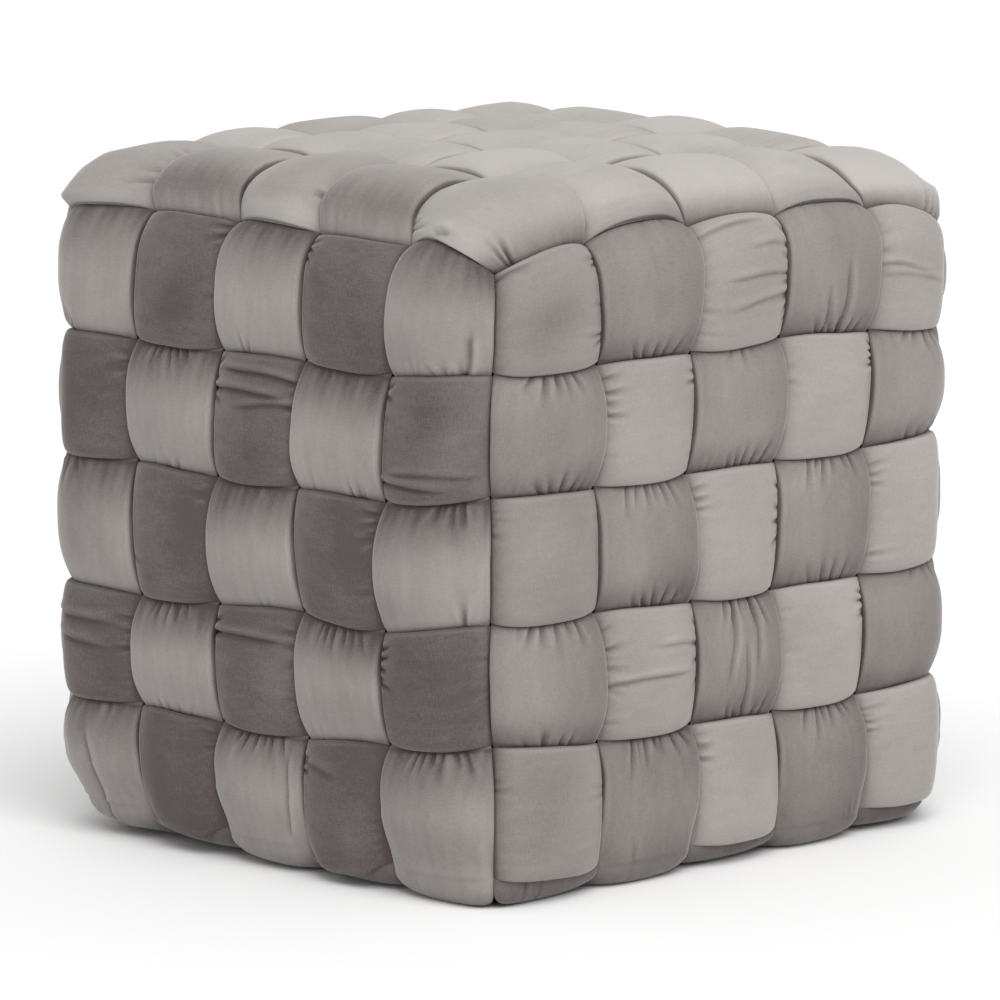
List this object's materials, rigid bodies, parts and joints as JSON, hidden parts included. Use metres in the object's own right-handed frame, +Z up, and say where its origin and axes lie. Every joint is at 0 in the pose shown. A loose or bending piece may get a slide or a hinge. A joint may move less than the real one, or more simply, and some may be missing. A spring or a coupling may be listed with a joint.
{
  "type": "cube pouf stool",
  "caption": "Cube pouf to sit on, covered all over with wide padded velvet straps woven over and under one another.",
  "frame": {"origin": "on the floor, at the middle of the pouf's box", "axes": "+Z up; -Y is the front wall, the left one in the picture; +X is the right wall, so the corner nearest the camera stands between -Y and +X"},
  "size_m": [0.4488, 0.4486, 0.4538],
  "materials": {
    "strap_velvet": "soft warm grey velvet, darker or lighter with the lie of its pile",
    "base_cloth": "plain black lining cloth, guessed"
  },
  "bodies": {
    "root": {"band_1": "strap_velvet", "band_2": "strap_velvet", "band_3": "strap_velvet", "band_4": "strap_velvet", "band_5": "strap_velvet", "front_strap_1": "strap_velvet", "front_strap_2": "strap_velvet", "front_strap_3": "strap_velvet", "front_strap_4": "strap_velvet", "front_strap_5": "strap_velvet", "side_strap_1": "strap_velvet", "side_strap_2": "strap_velvet", "side_strap_3": "strap_velvet", "side_strap_4": "strap_velvet", "side_strap_5": "strap_velvet", "base_panel": "base_cloth"}
  },
  "joints": []
}
